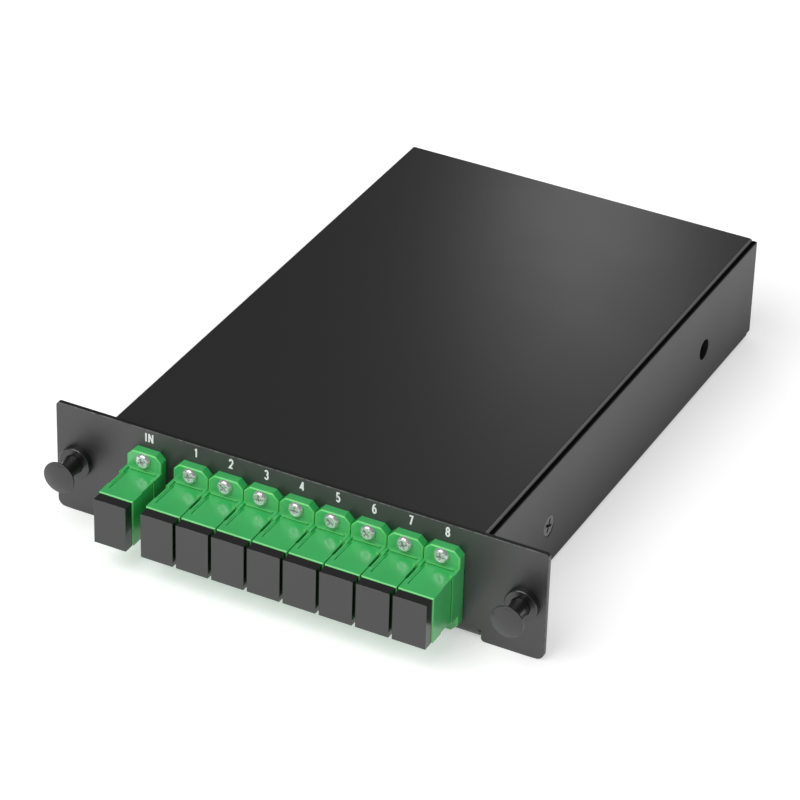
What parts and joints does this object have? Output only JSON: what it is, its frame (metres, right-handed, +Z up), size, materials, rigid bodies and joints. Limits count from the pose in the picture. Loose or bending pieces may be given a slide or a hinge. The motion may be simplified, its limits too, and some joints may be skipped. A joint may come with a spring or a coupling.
{
  "type": "planar fibre splitter cassette",
  "caption": "Flat black sheet-metal cassette for a rack, holding an optical splitter; a row of capped green adapters and ears with pull knobs on the front panel.",
  "frame": {"origin": "under the middle of the whole cassette, dust caps included, at the level of the floor's underside", "axes": "+X to the right seen from the front, +Y from the ports to the rear, +Z up"},
  "size_m": [0.13, 0.1738, 0.0294],
  "materials": {
    "chassis_steel": "fine matt black powder coat",
    "cover_steel": "fine matt black powder coat",
    "green_plastic": "moulded, slightly glossy",
    "green_plug": "moulded, slightly glossy",
    "black_cap": "moulded, fine matt",
    "black_nylon": "moulded, satin",
    "bright_screw": "bright plated",
    "black_screw": "black plated",
    "white_ceramic": "ground",
    "splitter_steel": "plain tube",
    "white_block": "moulded",
    "clear_clip": "moulded",
    "white_lead": "extruded"
  },
  "bodies": {
    "cassette": {"chassis": "chassis_steel", "cover": "cover_steel", "alignment_sleeves": "white_ceramic", "flange_screws_upper": "bright_screw", "flange_screws_lower": "bright_screw", "cover_screws": "black_screw", "splitter_tube": "splitter_steel", "fan_out_block": "white_block", "splitter_saddles": "clear_clip", "lead_guides": "clear_clip", "output_leads": "white_lead", "input_lead": "white_lead", "fastener_bush_left": "black_nylon", "fastener_bush_right": "black_nylon", "adapter_in": "green_plastic", "rear_plug_in": "green_plug", "adapter_1": "green_plastic", "rear_plug_1": "green_plug", "adapter_2": "green_plastic", "rear_plug_2": "green_plug", "adapter_3": "green_plastic", "rear_plug_3": "green_plug", "adapter_4": "green_plastic", "rear_plug_4": "green_plug", "adapter_5": "green_plastic", "rear_plug_5": "green_plug", "adapter_6": "green_plastic", "rear_plug_6": "green_plug", "adapter_7": "green_plastic", "rear_plug_7": "green_plug", "adapter_8": "green_plastic", "rear_plug_8": "green_plug"},
    "plunger_left": {"plunger_left": "black_nylon"},
    "plunger_right": {"plunger_right": "black_nylon"},
    "dust_cap_in": {"dust_cap_in": "black_cap"},
    "dust_cap_1": {"dust_cap_1": "black_cap"},
    "dust_cap_2": {"dust_cap_2": "black_cap"},
    "dust_cap_3": {"dust_cap_3": "black_cap"},
    "dust_cap_4": {"dust_cap_4": "black_cap"},
    "dust_cap_5": {"dust_cap_5": "black_cap"},
    "dust_cap_6": {"dust_cap_6": "black_cap"},
    "dust_cap_7": {"dust_cap_7": "black_cap"},
    "dust_cap_8": {"dust_cap_8": "black_cap"}
  },
  "joints": [
    {"name": "plunger_left_slide", "type": "slide", "parent": "cassette", "child": "plunger_left", "axis": [0, 1, 0], "range_m": [0, 0.0054]},
    {"name": "plunger_right_slide", "type": "slide", "parent": "cassette", "child": "plunger_right", "axis": [0, 1, 0], "range_m": [0, 0.0054]},
    {"name": "dust_cap_in_slide", "type": "slide", "parent": "cassette", "child": "dust_cap_in", "axis": [0, -1, 0], "range_m": [0, 0.01]},
    {"name": "dust_cap_1_slide", "type": "slide", "parent": "cassette", "child": "dust_cap_1", "axis": [0, -1, 0], "range_m": [0, 0.01]},
    {"name": "dust_cap_2_slide", "type": "slide", "parent": "cassette", "child": "dust_cap_2", "axis": [0, -1, 0], "range_m": [0, 0.01]},
    {"name": "dust_cap_3_slide", "type": "slide", "parent": "cassette", "child": "dust_cap_3", "axis": [0, -1, 0], "range_m": [0, 0.01]},
    {"name": "dust_cap_4_slide", "type": "slide", "parent": "cassette", "child": "dust_cap_4", "axis": [0, -1, 0], "range_m": [0, 0.01]},
    {"name": "dust_cap_5_slide", "type": "slide", "parent": "cassette", "child": "dust_cap_5", "axis": [0, -1, 0], "range_m": [0, 0.01]},
    {"name": "dust_cap_6_slide", "type": "slide", "parent": "cassette", "child": "dust_cap_6", "axis": [0, -1, 0], "range_m": [0, 0.01]},
    {"name": "dust_cap_7_slide", "type": "slide", "parent": "cassette", "child": "dust_cap_7", "axis": [0, -1, 0], "range_m": [0, 0.01]},
    {"name": "dust_cap_8_slide", "type": "slide", "parent": "cassette", "child": "dust_cap_8", "axis": [0, -1, 0], "range_m": [0, 0.01]}
  ]
}
